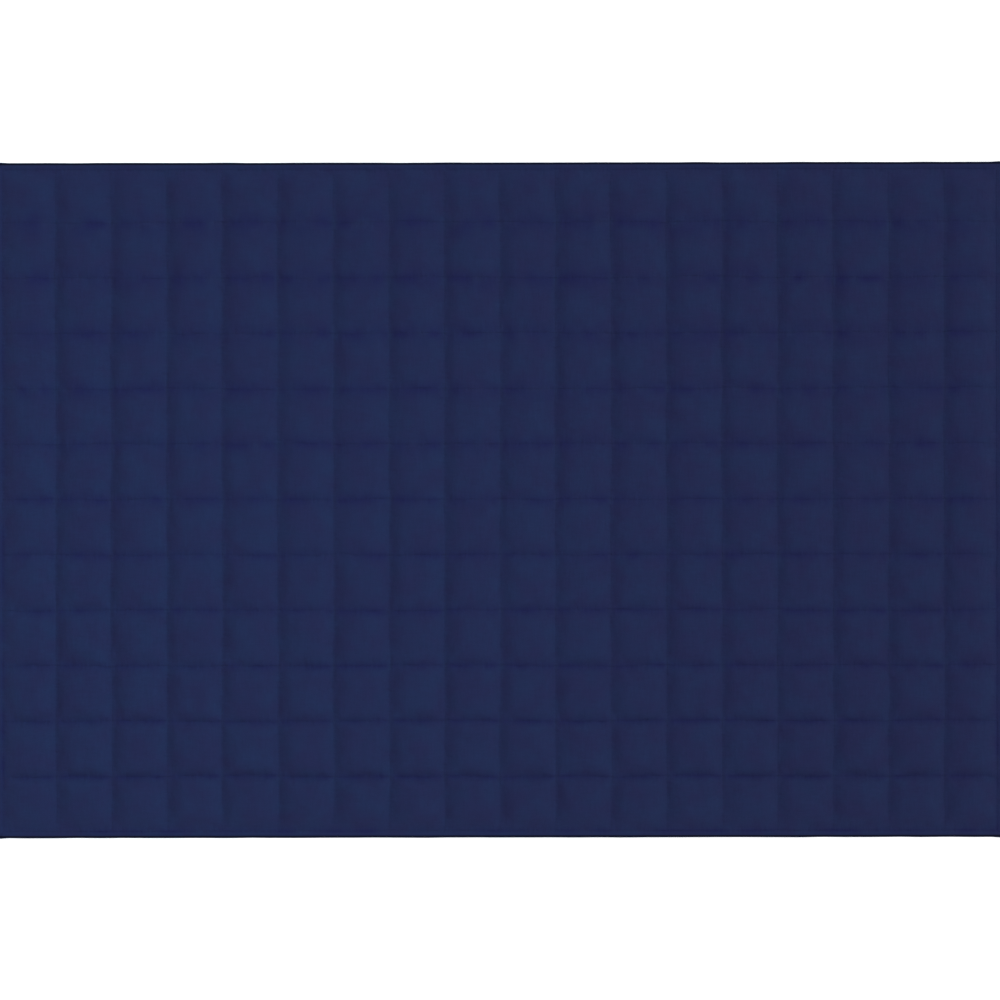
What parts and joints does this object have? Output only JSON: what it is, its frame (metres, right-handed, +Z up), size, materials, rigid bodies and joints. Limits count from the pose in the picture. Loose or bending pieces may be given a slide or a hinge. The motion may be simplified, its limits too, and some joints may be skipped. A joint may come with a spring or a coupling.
{
  "type": "weighted blanket",
  "caption": "Flat rectangular blanket, filled for weight, sewn through in a grid of crowned squares, with a narrow turned hem all round.",
  "frame": {"origin": "centre of the blanket's flat underside, on the surface that it lies on", "axes": "+X along the blanket's long side, +Y along its short side, +Z up out of its quilted upper face"},
  "size_m": [1.82, 1.22, 0.0138],
  "materials": {
    "navy_cotton": "matt plain-woven cotton"
  },
  "bodies": {
    "root": {"quilted_blanket": "navy_cotton"}
  },
  "joints": []
}
